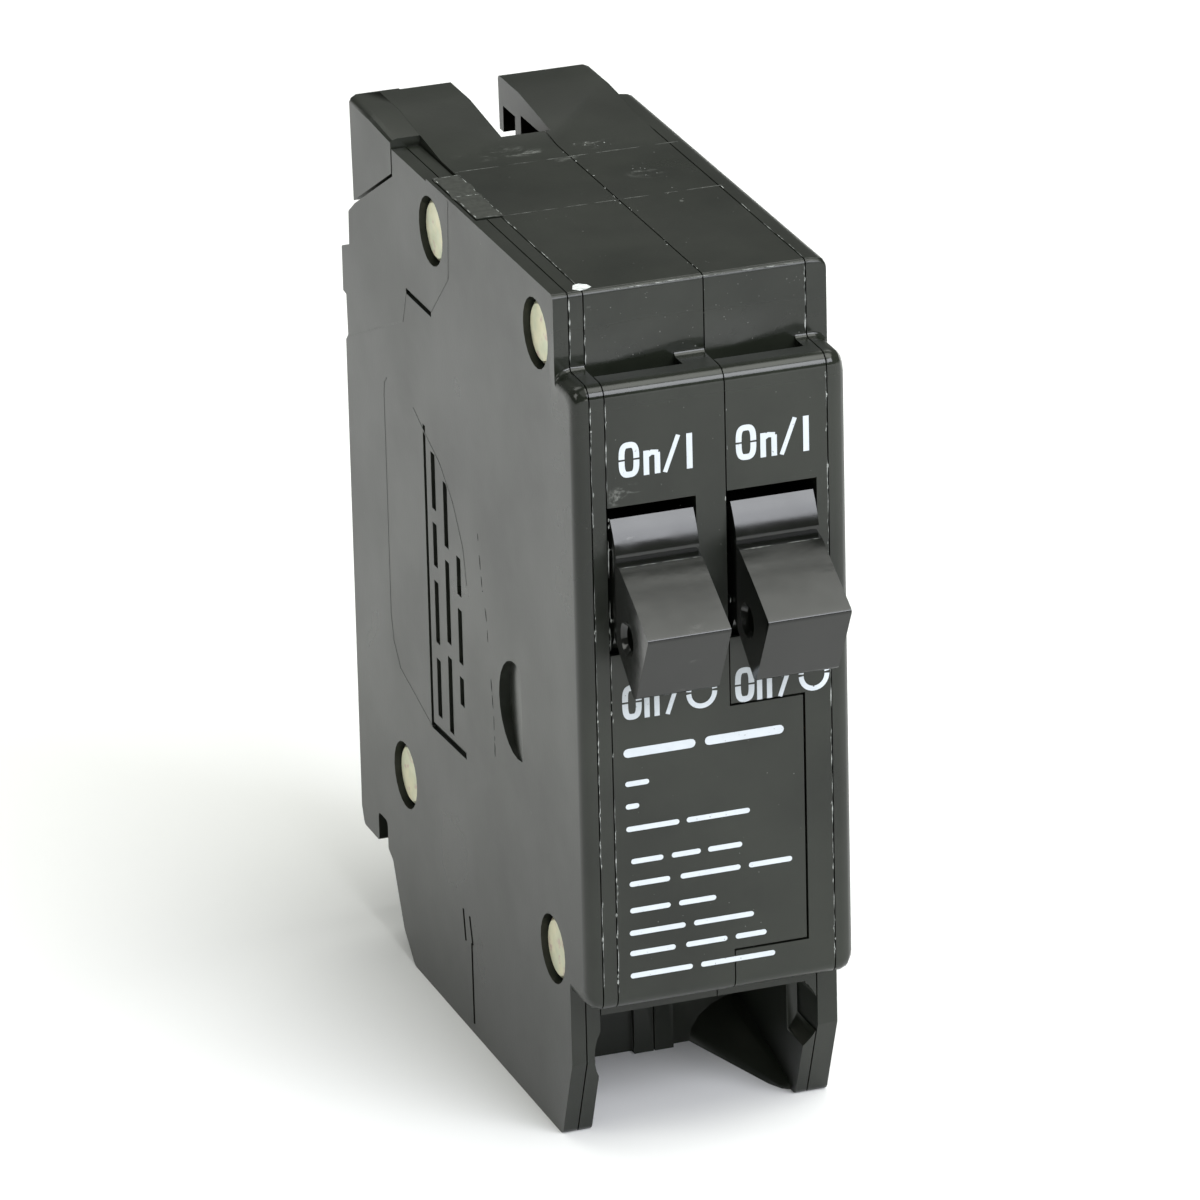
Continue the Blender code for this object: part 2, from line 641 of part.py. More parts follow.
def hub_and_tail():
    """The underside of the hub, the forked tail towards the back, and the hub's upper side."""
    angle, length = link_line()
    angle += HANDLE_THROW / 2
    notch, prong, mouth, root = FORK["notch"], FORK["prong"], FORK["mouth"], FORK["root"]
    floor = length * ARM_RATIO / (1 + ARM_RATIO) - 1.25
    fork = [(root, -prong), (mouth, -prong), (mouth, -notch), (floor, -notch),
            (floor, notch), (mouth, notch), (mouth, prong), (root, prong)]
    return about(HANDLE_PIVOT, angle, fork)


def about(pivot, degrees, points):
    """Points (run, rise) turned into (y, z), with run along a line from the pivot."""
    along = Vector((cos(radians(degrees)), sin(radians(degrees))))
    across = Vector((-along.y, along.x))
    return [tuple(Vector(pivot) + along * run + across * rise) for run, rise in points]


def contact_arm(side):
    """Blade from the handle's fork, over its own pivot, to the moving contact."""
    middle = POLES[side]["arm"]
    angle, length = link_line()
    tail_angle = angle + 180 - ARM_THROW / 2
    tail = length / (1 + ARM_RATIO)
    neck = tail - 0.75
    lower = [(2.6, -1.9), (4.5, -TAIL_HALF), (neck, -TAIL_HALF)]
    upper = [(run, -rise) for run, rise in lower[::-1]]
    blade = [(0, -ARM_HUB), (ARM_NECK, -ARM_HALF), (ARM_LENGTH - 0.4, -ARM_HALF), (ARM_LENGTH, 0.2),
             (ARM_LENGTH - 0.4, ARM_HALF), (ARM_NECK, ARM_HALF), (0, ARM_HUB)]
    outline = about(ARM_PIVOT, tail_angle, lower)
    outline += arc(polar(ARM_PIVOT, tail, tail_angle), TAIL_TIP, tail_angle - 140, tail_angle + 140, 9)
    outline += about(ARM_PIVOT, tail_angle, upper) + about(ARM_PIVOT, ARM_REST, blade)
    start = place(middle, *ARM_PIVOT)
    low, high = middle - ARM_OUTER_X, middle + ARM_OUTER_X
    arm = solid(f"{side}_contact_arm", outline, "x", low, high, "copper", start)
    return cut(arm, rod(f"cut_{side}_arm_bore", "x", ARM_PIVOT, PIVOT_BORE, low - 1, high + 1, None, 16))


def contact_button(name, side, angle, low, high, origin):
    corners = [(CONTACT_RADIUS[0], low), (CONTACT_RADIUS[1], low), (CONTACT_RADIUS[1], high),
               (CONTACT_RADIUS[0], high)]
    middle = POLES[side]["arm"]
    low_x, high_x = middle - CONTACT_HALF, middle + CONTACT_HALF
    return solid(name, about(ARM_PIVOT, angle, corners), "x", low_x, high_x, "silver", origin)


def bent_strip(name, path, thickness, low, high, colour, origin=(0, 0, 0)):
    """A strip of even thickness along a path of (y, z) points."""
    above, below = [], []
    for index, here in enumerate(path):
        point = Vector(here)
        ways = []
        if index > 0:
            ways.append((point - Vector(path[index - 1])).normalized())
        if index < len(path) - 1:
            ways.append((Vector(path[index + 1]) - point).normalized())
        mean = sum(ways, Vector((0, 0))).normalized()
        normal = Vector((-mean.y, mean.x))
        reach = thickness / 2 / abs(normal.dot(Vector((-ways[0].y, ways[0].x))))
        above.append(tuple(point + normal * reach))
        below.append(tuple(point - normal * reach))
    return solid(name, above + below[::-1], "x", low, high, colour, origin)


def line_strap(side):
    """Carries the fixed contact, and rises in front of the jaw's cross plate."""
    back = SLOT["front"] - 0.2
    path = about(ARM_PIVOT, ARM_CLOSED, [(16.6, 4.75), (22.5, 4.75)]) + [(back, -14.2), (back, -5.6)]
    middle = POLES[side]["arm"]
    low, high = middle - STRAP_HALF, middle + STRAP_HALF
    return bent_strip(f"{side}_line_strap", path, 1.2, low, high, "copper")


def pin(name, side, centre, radius):
    low, high = POLES[side]["low"] + RUNNING_GAP, POLES[side]["high"] - RUNNING_GAP
    return rod(name, "x", centre, radius, low, high, "steel", 16)


def cradle(side):
    """Trip lever: pivots at the front, and its rear tip waits under the armature's edge."""
    middle = POLES[side]["arm"]
    profile = [(-3.0, -1.6), (0.5, -2.6), (6, -1.5), (19.6, -0.8), (20.9, -0.8), (20.9, 0.9), (19.6, 0.9),
               (12, CRADLE_TOP), (7.5, CRADLE_TOP), (0.5, 2.6), (-3.0, 1.6)]
    outline = [(CRADLE_PIVOT[0] + y, CRADLE_PIVOT[1] + z) for y, z in profile]
    start = place(middle, *CRADLE_PIVOT)
    lever = solid(f"{side}_cradle", outline, "x", middle - 1.0, middle + 1.0, "steel", start)
    low, high = middle - 3, middle + 3
    return cut(lever, rod(f"cut_{side}_cradle_bore", "x", CRADLE_PIVOT, PIVOT_BORE, low, high, None, 16))


def operating_spring(side):
    """Coil between the cradle and the arm, standing on the cradle."""
    middle = POLES[side]["arm"]
    per_turn, sides, wire = 10, 6, SPRING["wire"]
    low, high = CRADLE_PIVOT[1] + CRADLE_TOP + RUNNING_GAP + wire, SPRING["top"]
    steps = SPRING["turns"] * per_turn
    mesh = bmesh.new()
    rings = []
    for step in range(steps + 1):
        turn = 2 * pi * step / per_turn
        height = low + (high - low) * step / steps
        out = Vector((cos(turn), sin(turn), 0))
        core = Vector((middle, SPRING["y"], height)) + out * SPRING["radius"]
        ring = []
        for index in range(sides):
            round_wire = 2 * pi * index / sides
            point = core + out * wire * cos(round_wire) + Vector((0, 0, wire * sin(round_wire)))
            ring.append(mesh.verts.new(place(*point)))
        rings.append(ring)
    mesh.faces.new(rings[0])
    mesh.faces.new(reversed(rings[-1]))
    for first, second in zip(rings, rings[1:]):
        for index in range(sides):
            after = (index + 1) % sides
            mesh.faces.new((first[index], first[after], second[after], second[index]))
    bmesh.ops.recalc_face_normals(mesh, faces=mesh.faces)
    return add_object(f"{side}_operating_spring", mesh, "steel", Vector((0, 0, 0)), 60)


def bimetal(side):
    middle = pole_middle(side)
    ys = (BIMETAL_Y - 0.45, BIMETAL_Y + 0.45)
    return block(f"{side}_bimetal", (middle - 2.4, middle + 2.4), ys, BIMETAL_Z, "bimetal")


def magnet_yoke(side):
    """Steel channel around the bimetal, open towards the armature."""
    middle = pole_middle(side)
    base, front = BIMETAL_Y + 2.6, BIMETAL_Y - 1.2
    plan = [(-3.9, front), (-2.9, front), (-2.9, base - 1.2), (2.9, base - 1.2), (2.9, front), (3.9, front),
            (3.9, base), (-3.9, base)]
    outline = [(middle + x, y) for x, y in plan]
    return loft(f"{side}_magnet_yoke", [(z, outline) for z in YOKE_Z], "z", "steel")


def armature(side):
    """Plate in front of the magnet, hinged at its foot, with an edge that holds the cradle's tip."""
    middle = pole_middle(side)
    pivot = ARMATURE_PIVOT
    profile = [(-1.0, -0.9), (0.6, -0.9), (0.6, 20.6), (-0.6, 20.6), (-0.6, 18.5),
               (-0.85, 18.5), (-0.85, 17.8), (-0.6, 17.8), (-0.6, 1.2), (-1.0, 0.8)]
    outline = [(pivot[0] + y, pivot[1] + z) for y, z in profile]
    start = place(middle, *pivot)
    return solid(f"{side}_armature", outline, "x", middle - 3.2, middle + 3.2, "steel", start)


def braid(side):
    """Flexible copper lead from the bimetal's head to the contact arm."""
    middle = POLES[side]["arm"]
    path = [(39.0, -39.6), (36.6, -36.8), (33.2, -34.2), (30.0, -32.2), (27.4, -31.0)]
    return bent_strip(f"{side}_braid", path, 1.3, middle - 1.1, middle + 1.1, "copper")


def load_strap(side):
    """From the foot of the bimetal to the anvil inside the clamp."""
    middle = pole_middle(side)
    path = [(38.7, -64.4), (38.7, -67.2), (25.1, -67.2), (25.1, -77.0)]
    return bent_strip(f"{side}_load_strap", path, 1.1, middle - 2.2, middle + 2.2, "copper")


def terminal_clamp(side):
    """Box clamp around the anvil and the wire: the screw draws it forwards."""
    middle = pole_middle(side)
    start = place(middle, WIRE_Y, SCREW_Z)
    xs = (middle - CLAMP["outer"], middle + CLAMP["outer"])
    room = (middle - CLAMP["inner"], middle + CLAMP["inner"])
    through = (CLAMP["z"][0] - 1, CLAMP["z"][1] + 1)
    bore = SCREW_RADIUS + RUNNING_GAP
    outer = block(f"{side}_terminal_clamp", xs, CLAMP["y"], CLAMP["z"], "steel", start)
    inner = block(f"cut_{side}_clamp_room", room, CLAMP["room"], through, None)
    thread = rod(f"cut_{side}_clamp_thread", "y", (middle, SCREW_Z), bore, 20, 24, None, 16)
    return cut(outer, inner, thread)


def terminal_screw(side):
    """Slotted screw lying along y: its head faces the front, in the pocket's back wall."""
    middle = pole_middle(side)
    centre = (middle, SCREW_Z)
    chamfer = SCREW_CHAMFER
    steps = [(SCREW_FACE_Y, SCREW_HEAD - chamfer), (SCREW_FACE_Y + chamfer, SCREW_HEAD),
             (SCREW_NECK_Y, SCREW_HEAD), (SCREW_NECK_Y, SCREW_RADIUS),
             (SCREW_END_Y - chamfer, SCREW_RADIUS), (SCREW_END_Y, SCREW_RADIUS - chamfer)]
    slices = [(y, arc(centre, radius, 0, 342, 19)) for y, radius in steps]
    start = place(middle, SCREW_NECK_Y, SCREW_Z)
    screw = loft(f"{side}_terminal_screw", slices, "y", "zinc", start, 40)
    ys, zs = (SCREW_FACE_Y - 1, SCREW_FACE_Y + 1.2), (SCREW_Z - 0.45, SCREW_Z + 0.45)
    return cut(screw, block(f"cut_{side}_screw_slot", (middle - 4, middle + 4), ys, zs, None))


def set_screw(side):
    """Calibration screw behind the magnet, reached from the back of the case."""
    middle = pole_middle(side)
    centre = (middle, SET_SCREW_Z)
    steps = [(43.1, 0.7), (43.9, SET_SCREW_RADIUS), (59.0, SET_SCREW_RADIUS)]
    slices = [(y, arc(centre, radius, 0, 330, 11)) for y, radius in steps]
    screw = loft(f"{side}_calibration_screw", slices, "y", "zinc", smooth_angle=40)
    zs = (SET_SCREW_Z - 0.3, SET_SCREW_Z + 0.3)
    return cut(screw, block(f"cut_{side}_set_slot", (middle - 3, middle + 3), (58.2, 60), zs, None))


def line_jaw():
    """Cross plate for both poles, with two sprung fingers that grip the panel's stab."""
    middle = (SLOT["low"] + SLOT["high"]) / 2
    low, high = POLES["left"]["arm"] - STRAP_HALF, POLES["right"]["arm"] + STRAP_HALF
    front, back = JAW_PLATE_Y
    left = [(middle - 1.35, back), (middle - 1.35, 52.4), (middle - 2.0, 54.8)]
    right = [(2 * middle - x, y) for x, y in left]
    inner_left = [(x + JAW_FINGER, y) for x, y in left]
    inner_right = [(x - JAW_FINGER, y) for x, y in right]
    plan = [(low, front), (low, back)] + left + inner_left[::-1] + inner_right + right[::-1]
    plan += [(high, back), (high, front)]
    return loft("line_jaw", [(JAW_Z[0], plan), (JAW_Z[1], plan)], "z", "copper")


def jaw_spring():
    """Steel channel that presses the two fingers together from outside."""
    middle = (SLOT["low"] + SLOT["high"]) / 2
    top, floor = JAW_Z[1] - 1.0, JAW_Z[0] - 0.3
    section = [(-2.15, top), (-1.65, top), (-1.65, floor), (1.65, floor), (1.65, top), (2.15, top),
               (2.15, floor - 0.5), (-2.15, floor - 0.5)]
    return solid("jaw_spring", [(middle + x, z) for x, z in section], "y", 47, 52, "steel")


def build_pole(side):
    handle(side)
    pin(f"{side}_handle_pin", side, HANDLE_PIVOT, PIN_RADIUS)
    contact_arm(side)
    arm_start = place(POLES[side]["arm"], *ARM_PIVOT)
    contact_button(f"{side}_moving_contact", side, ARM_REST, 1.4, 2.5, arm_start)
    contact_button(f"{side}_fixed_contact", side, ARM_CLOSED, 2.8, 3.85, (0, 0, 0))
    pin(f"{side}_arm_pin", side, ARM_PIVOT, PIVOT_PIN)
    line_strap(side)
    cradle(side)
    pin(f"{side}_cradle_pin", side, CRADLE_PIVOT, PIVOT_PIN)
    operating_spring(side)
    bimetal(side)
    magnet_yoke(side)
    armature(side)
    set_screw(side)
    braid(side)
    load_strap(side)
    terminal_clamp(side)
    terminal_screw(side)


def build():
    clear_scene()
    left_cover()
    left_liner()
    left_case()
    right_case()
    right_cover()
    for name, centre in RIVETS.items():
        rivet(f"rivet_{name}", centre)
    line_jaw()
    jaw_spring()
    for side in POLES:
        build_pole(side)


build()
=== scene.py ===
"""Looks of the twin plug-on circuit breaker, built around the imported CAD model."""
import json
from math import cos, hypot, pi, radians, sin
from random import Random

import bmesh
import bpy
from mathutils import Matrix, Vector


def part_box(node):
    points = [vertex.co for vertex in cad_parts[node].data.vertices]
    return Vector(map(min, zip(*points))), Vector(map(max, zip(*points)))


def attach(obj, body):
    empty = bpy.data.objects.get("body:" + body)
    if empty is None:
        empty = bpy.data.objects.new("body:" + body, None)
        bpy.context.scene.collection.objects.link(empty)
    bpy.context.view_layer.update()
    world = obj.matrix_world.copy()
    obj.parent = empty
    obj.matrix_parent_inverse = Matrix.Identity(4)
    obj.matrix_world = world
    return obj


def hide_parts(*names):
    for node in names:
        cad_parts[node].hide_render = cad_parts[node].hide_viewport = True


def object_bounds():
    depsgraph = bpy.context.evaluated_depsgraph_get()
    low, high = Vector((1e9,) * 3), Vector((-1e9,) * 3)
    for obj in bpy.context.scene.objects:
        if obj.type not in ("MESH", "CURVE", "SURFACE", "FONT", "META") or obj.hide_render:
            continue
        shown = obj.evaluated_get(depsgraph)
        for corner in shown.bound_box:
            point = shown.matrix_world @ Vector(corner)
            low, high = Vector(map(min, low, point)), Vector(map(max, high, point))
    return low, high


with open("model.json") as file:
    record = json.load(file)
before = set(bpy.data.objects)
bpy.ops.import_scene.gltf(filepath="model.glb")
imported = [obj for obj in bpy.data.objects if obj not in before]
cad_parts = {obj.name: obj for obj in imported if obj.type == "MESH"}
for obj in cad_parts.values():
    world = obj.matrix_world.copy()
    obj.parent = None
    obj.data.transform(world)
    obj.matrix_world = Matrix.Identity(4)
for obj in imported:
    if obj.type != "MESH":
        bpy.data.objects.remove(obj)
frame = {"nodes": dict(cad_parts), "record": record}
cad_box = [list(corner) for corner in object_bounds()]

MM = 0.001
HOUSING = "housing"
SIDES = ("left", "right")

# The drawing's own units and places: x across from left to right, y back from the shoulder, z up
# from the case's top. The whole width, 25.95 units, gives the scale.
LEFT_X, OUTER_X = -12.7, 13.25
BACK_Y = 60.1
BOTTOM_Z = -82.8
NOSE_Y = -4.96
UNIT = (cad_box[1][0] - cad_box[0][0]) / (OUTER_X - LEFT_X)


def spot(x, y, z):
    """Drawing units to the frame's metres."""
    return Vector((cad_box[0][0] + (x - LEFT_X) * UNIT, cad_box[1][1] + (y - BACK_Y) * UNIT,
                   cad_box[0][2] + (z - BOTTOM_Z) * UNIT))


# ---------------------------------------------------------------- camera, lights and floor

CAMERA_YAW = 19.421
CAMERA_PITCH = 21.569
CAMERA_ROLL = -1.393
CAMERA_DISTANCE = 895.839 * UNIT
CAMERA_LENS = 297.455
CAMERA_SENSOR = 36
CAMERA_NEAR = 0.01
# The point it looks at: how far to the camera's right of the middle plane, then y and z.
AIM = (-7.246, 3.5, -31.992)


def make_camera():
    yaw, pitch, roll = radians(CAMERA_YAW), radians(CAMERA_PITCH), radians(CAMERA_ROLL)
    back = Vector((-sin(yaw) * cos(pitch), -cos(yaw) * cos(pitch), sin(pitch)))
    right = (-back).cross(Vector((0, 0, 1))).normalized()
    up = right.cross(-back)
    across = cos(roll) * right + sin(roll) * up
    above = -sin(roll) * right + cos(roll) * up
    target = spot(0, AIM[1], AIM[2]) + right * AIM[0] * UNIT
    data = bpy.data.cameras.new("camera")
    data.lens = CAMERA_LENS
    data.sensor_width = CAMERA_SENSOR
    data.clip_start = CAMERA_NEAR
    camera = bpy.data.objects.new("camera", data)
    bpy.context.scene.collection.objects.link(camera)
    turn = Matrix((across, above, back)).transposed().to_4x4()
    camera.matrix_world = Matrix.Translation(target + back * CAMERA_DISTANCE) @ turn
    bpy.context.scene.camera = camera


def area_light(name, place, aim, size, power, colour):
    data = bpy.data.lights.new(name, "AREA")
    data.shape = "RECTANGLE"
    data.size, data.size_y = size
    data.energy = power
    data.color = colour
    lamp = bpy.data.objects.new(name, data)
    bpy.context.scene.collection.objects.link(lamp)
    lamp.location = place
    lamp.rotation_euler = (Vector(aim) - Vector(place)).to_track_quat("-Z", "Y").to_euler()


WARM_WHITE, COOL_WHITE = (0.985, 1.0, 0.95), (0.92, 0.94, 1.0)
BODY_MIDDLE = (0, 0, 0.04)
# Panels of light: name, place, the point that the panel faces, size, power and colour.
PANELS = [
    ("overhead", (0, -1.25, 1.6), (0, -1.25, 0), (3.0, 2.4), 20, WARM_WHITE),
    ("overhead_back", (0, 1.35, 1.6), (0, 1.35, 0), (3.0, 0.9), 20, WARM_WHITE),
    ("top", (0.5, -0.43, 1.55), (0.5, -0.43, 0), (1.3, 1.15), 14.5, WARM_WHITE),
    ("key", (0.36, -1.01, 0.75), BODY_MIDDLE, (0.9, 0.62), 14, COOL_WHITE),
    ("fill", (-0.3, -1.2, 0.14), BODY_MIDDLE, (0.6, 0.2), 1.4, WARM_WHITE),
    ("side", (-1.1, 0.1, 0.5), BODY_MIDDLE, (0.4, 0.4), 1.5, WARM_WHITE),
]
WORLD_COLOUR, WORLD_STRENGTH = (0.97, 1.0, 0.95, 1), 0.16
FLOOR_REACH = 6


def make_studio():
    world = bpy.data.worlds.new("studio")
    world.use_nodes = True
    world.node_tree.nodes["Background"].inputs["Color"].default_value = WORLD_COLOUR
    world.node_tree.nodes["Background"].inputs["Strength"].default_value = WORLD_STRENGTH
    bpy.context.scene.world = world
    bpy.context.scene.view_settings.view_transform = "Standard"
    for panel in PANELS:
        area_light(*panel)
    corners = [(x * FLOOR_REACH, y * FLOOR_REACH, 0) for x, y in ((-1, -1), (1, -1), (1, 1), (-1, 1))]
    floor = flat_shape("floor", corners)
    floor.data.materials.append(floor_material())


# ---------------------------------------------------------------- materials

class Shader:
    """A Principled material with small helpers for its texture nodes."""

    def __init__(self, name, roughness=0.5, metallic=0.0):
        self.material = bpy.data.materials.new(name)
        self.material.use_nodes = True
        self.tree = self.material.node_tree
        self.main = self.tree.nodes["Principled BSDF"]
        self.main.inputs["Roughness"].default_value = roughness
        self.main.inputs["Metallic"].default_value = metallic
        self.place = self.add("ShaderNodeTexCoord").outputs["Object"]

    def add(self, kind, **settings):
        node = self.tree.nodes.new(kind)
        for name, value in settings.items():
            setattr(node, name, value)
        return node

    def link(self, source, target):
        self.tree.links.new(source, target)

    def noise(self, scale, detail=3.0, roughness=0.55, stretch=None, distortion=0.0):
        node = self.add("ShaderNodeTexNoise")
        node.inputs["Scale"].default_value = scale
        node.inputs["Detail"].default_value = detail
        node.inputs["Roughness"].default_value = roughness
        node.inputs["Distortion"].default_value = distortion
        place = self.place
        if stretch:
            mapping = self.add("ShaderNodeMapping")
            mapping.inputs["Scale"].default_value = stretch
            self.link(place, mapping.inputs["Vector"])
            place = mapping.outputs["Vector"]
        self.link(place, node.inputs["Vector"])
        return node.outputs["Fac"]

    def ramp(self, value, low, high, start=0.0, end=1.0):
        node = self.add("ShaderNodeMapRange", interpolation_type="SMOOTHSTEP")
        node.inputs["From Min"].default_value = low
        node.inputs["From Max"].default_value = high
        node.inputs["To Min"].default_value = start
        node.inputs["To Max"].default_value = end
        self.link(value, node.inputs["Value"])
        return node.outputs["Result"]

    def product(self, first, second):
        node = self.add("ShaderNodeMath", operation="MULTIPLY")
        self.link(first, node.inputs[0])
        self.link(second, node.inputs[1])
        return node.outputs["Value"]

    def patch(self, centre, radii):
        """1 at a place on the object, falling to 0 at the given distances from it."""
        shift = self.add("ShaderNodeVectorMath", operation="SUBTRACT")
        self.link(self.place, shift.inputs[0])
        shift.inputs[1].default_value = centre
        scale = self.add("ShaderNodeVectorMath", operation="DIVIDE")
        self.link(shift.outputs["Vector"], scale.inputs[0])
        scale.inputs[1].default_value = radii
        length = self.add("ShaderNodeVectorMath", operation="LENGTH")
        self.link(scale.outputs["Vector"], length.inputs[0])
        return self.ramp(length.outputs["Value"], 0.2, 1.0, 1.0, 0.0)

    def blend(self, factor, first, second):
        node = self.add("ShaderNodeMix", data_type="RGBA")
        self.link(factor, node.inputs["Factor"])
        for value, socket in ((first, node.inputs["A"]), (second, node.inputs["B"])):
            if isinstance(value, tuple):
                socket.default_value = (*value, 1)
            else:
                self.link(value, socket)
        return node.outputs["Result"]

    def colour(self, value):
        self.link(value, self.main.inputs["Base Color"])

    def roughness(self, value):
        self.link(value, self.main.inputs["Roughness"])

    def bump(self, height, strength, distance):
        node = self.add("ShaderNodeBump")
        node.inputs["Strength"].default_value = strength
        node.inputs["Distance"].default_value = distance
        self.link(height, node.inputs["Height"])
        self.link(node.outputs["Normal"], self.main.inputs["Normal"])


def floor_material():
    shader = Shader("floor", 0.9)
    shader.main.inputs["Specular IOR Level"].default_value = 0.1
    shader.colour(shader.blend(shader.noise(3), (0.9, 0.9, 0.9), (0.93, 0.93, 0.93)))
    return shader.material


# Places that are rubbed pale, on the top and the nose: the drawing point, and the reach each way.
RUBS = [
    ((-5.2, 38.4, 0.2), (4.6, 1.9, 2)),
    ((-1.6, 37.6, 0.2), (2.2, 1.2, 2)),
    ((4.6, 37.4, 0.2), (3.4, 1.5, 2)),
    ((6.6, 28.0, 0.0), (2.4, 2.0, 2)),
    ((0.9, 34.6, 0.0), (1.6, 0.9, 2)),
    ((-8.2, -4.96, -18.0), (2.4, 2, 1.6)),
]
# Places that are smoother than the rest: the foot of the upper wall and the rounded top of the nose.
SHINES = [
    ((0.7, 0, -6.6), (34, 2, 4.4)),
    ((0.7, -4.4, -8.4), (34, 2, 1.6)),
]
SHINE_SHARE = 0.42
DUST, RUBBED = (0.12, 0.125, 0.115), (0.3, 0.31, 0.29)


def moulding_material(name, dark, light, roughness):
    """Moulded thermoset: near-black with clouds, a fine grain, pale specks, and rubbed places."""
    shader = Shader(name, roughness[0])
    shader.main.inputs["Specular IOR Level"].default_value = 0.42
    clouds = shader.ramp(shader.noise(48, 5, 0.6), 0.34, 0.7)
    base = shader.blend(clouds, dark, light)
    flecks = shader.ramp(shader.noise(1500, 2), 0.72, 0.78)
    dusty = shader.ramp(shader.noise(190, 3), 0.55, 0.7)
    colour = shader.blend(shader.product(flecks, dusty), base, DUST)
    streaks = shader.ramp(shader.noise(620, 6, 0.7, (0.5, 1, 1), 0.6), 0.5, 0.74)
    for centre, radii in RUBS:
        reach = shader.patch(spot(*centre), tuple(radius * UNIT for radius in radii))
        colour = shader.blend(shader.product(reach, streaks), colour, RUBBED)
    shader.colour(colour)
    finish = shader.ramp(shader.noise(60, 4), 0.3, 0.7, *roughness)
    for centre, radii in SHINES:
        reach = shader.patch(spot(*centre), tuple(radius * UNIT for radius in radii))
        finish = shader.product(finish, shader.ramp(reach, 0, 0.8, 1, SHINE_SHARE))
    shader.roughness(finish)
    shader.bump(shader.noise(2600, 3), 0.12, 0.00004)
    return shader.material


def edge_material(name, dark, light):
    """The rounded edges of a moulding, rubbed pale in short stretches."""
    shader = Shader(name, 0.42)
    patches = shader.ramp(shader.noise(110, 3), 0.42, 0.6)
    rubbed = shader.product(shader.ramp(shader.noise(700, 5, 0.65), 0.53, 0.68), patches)
    shader.colour(shader.blend(rubbed, dark, light))
    shader.bump(shader.noise(2400, 2), 0.2, 0.00005)
    return shader.material


def handle_material():
    """Smoother and glossier than the case, with faint rub marks."""
    shader = Shader("handle_plastic", 0.3)
    shader.main.inputs["Specular IOR Level"].default_value = 0.5
    clouds = shader.ramp(shader.noise(160, 3), 0.3, 0.7)
    base = shader.blend(clouds, (0.0042, 0.0048, 0.0038), (0.0075, 0.0082, 0.0068))
    rubs = shader.product(shader.ramp(shader.noise(520, 4, 0.6, (1, 1, 3)), 0.6, 0.74),
                          shader.ramp(shader.noise(140, 2), 0.5, 0.68))
    shader.colour(shader.blend(rubs, base, (0.04, 0.04, 0.038)))
    shader.roughness(shader.ramp(shader.noise(260, 3), 0.3, 0.7, 0.11, 0.2))
    shader.bump(shader.noise(900, 3), 0.12, 0.00004)
    return shader.material


def metal_material(name, first, second, roughness, scale=500, stretch=None):
    """Bare metal in two close tones, brushed along one axis if it is stretched."""
    shader = Shader(name, roughness, 1.0)
    tones = shader.ramp(shader.noise(scale, 3, 0.5, stretch), 0.35, 0.65)
    shader.colour(shader.blend(tones, first, second))
    grain = shader.noise(scale * 2, 3, 0.5, stretch)
    shader.roughness(shader.ramp(grain, 0.3, 0.7, roughness, roughness + 0.14))
    shader.bump(shader.noise(scale * 5, 2, 0.5, stretch), 0.1, 0.00003)
    return shader.material


def rivet_material():
    """Yellow zinc plate: cream with patches of faint green and pink, and stamping marks."""
    shader = Shader("yellow_zinc", 0.4, 0.85)
    cream, green, pink = (0.66, 0.63, 0.45), (0.55, 0.57, 0.42), (0.52, 0.4, 0.34)
    base = shader.blend(shader.ramp(shader.noise(420, 3), 0.35, 0.65), cream, green)
    shader.colour(shader.blend(shader.ramp(shader.noise(900, 3), 0.56, 0.7), base, pink))
    shader.roughness(shader.ramp(shader.noise(700, 3), 0.3, 0.7, 0.34, 0.52))
    shader.bump(shader.noise(1500, 3), 0.25, 0.00005)
    return shader.material


def print_material():
    """White pad print, slightly worn so that the plastic shows through in specks."""
    shader = Shader("print_white", 0.6)
    worn = shader.ramp(shader.noise(2600, 3), 0.66, 0.72)
    base = shader.blend(shader.noise(900, 3), (0.5, 0.54, 0.58), (0.6, 0.64, 0.68))
    shader.colour(shader.blend(worn, base, (0.1, 0.1, 0.1)))
    shader.bump(shader.noise(3000, 2), 0.1, 0.00002)
    return shader.material


def plain_material(name, first, second, roughness, grain=0.3):
    """Two tones in a fine mottle, for the marks on the mouldings."""
    shader = Shader(name, roughness)
    shader.colour(shader.blend(shader.ramp(shader.noise(1800, 3), 0.35, 0.65), first, second))
    shader.bump(shader.noise(3000, 2), grain, 0.00003)
    return shader.material


CASE_DARK, CASE_LIGHT, CASE_ROUGHNESS = (0.0072, 0.0088, 0.0062), (0.0165, 0.0190, 0.0142), (0.27, 0.35)
# Material name, two tones and roughness, then the strength of the grain if it isn't the usual one.
PLAIN = {
    "scuff": ("scuff_pale", (0.07, 0.075, 0.07), (0.36, 0.375, 0.36), 0.7),
    # The faint tones are faint flecks on the case, and also the painted highlights along the levers'
    # folds and tip edges.
    "faint": ("faint_scuff_and_highlight", (0.035, 0.038, 0.033), (0.13, 0.135, 0.125), 0.6),
    "chip": ("chip_white", (0.5, 0.53, 0.52), (0.75, 0.78, 0.77), 0.8),
    "worn": ("worn_tab", (0.016, 0.018, 0.014), (0.03, 0.033, 0.027), 0.5, 0.1),
    "edge_line": ("mould_line", (0.016, 0.018, 0.014), (0.03, 0.033, 0.028), 0.36),
    "scratch": ("scratch_dark", (0.004, 0.004, 0.003), (0.01, 0.011, 0.009), 0.9),
}
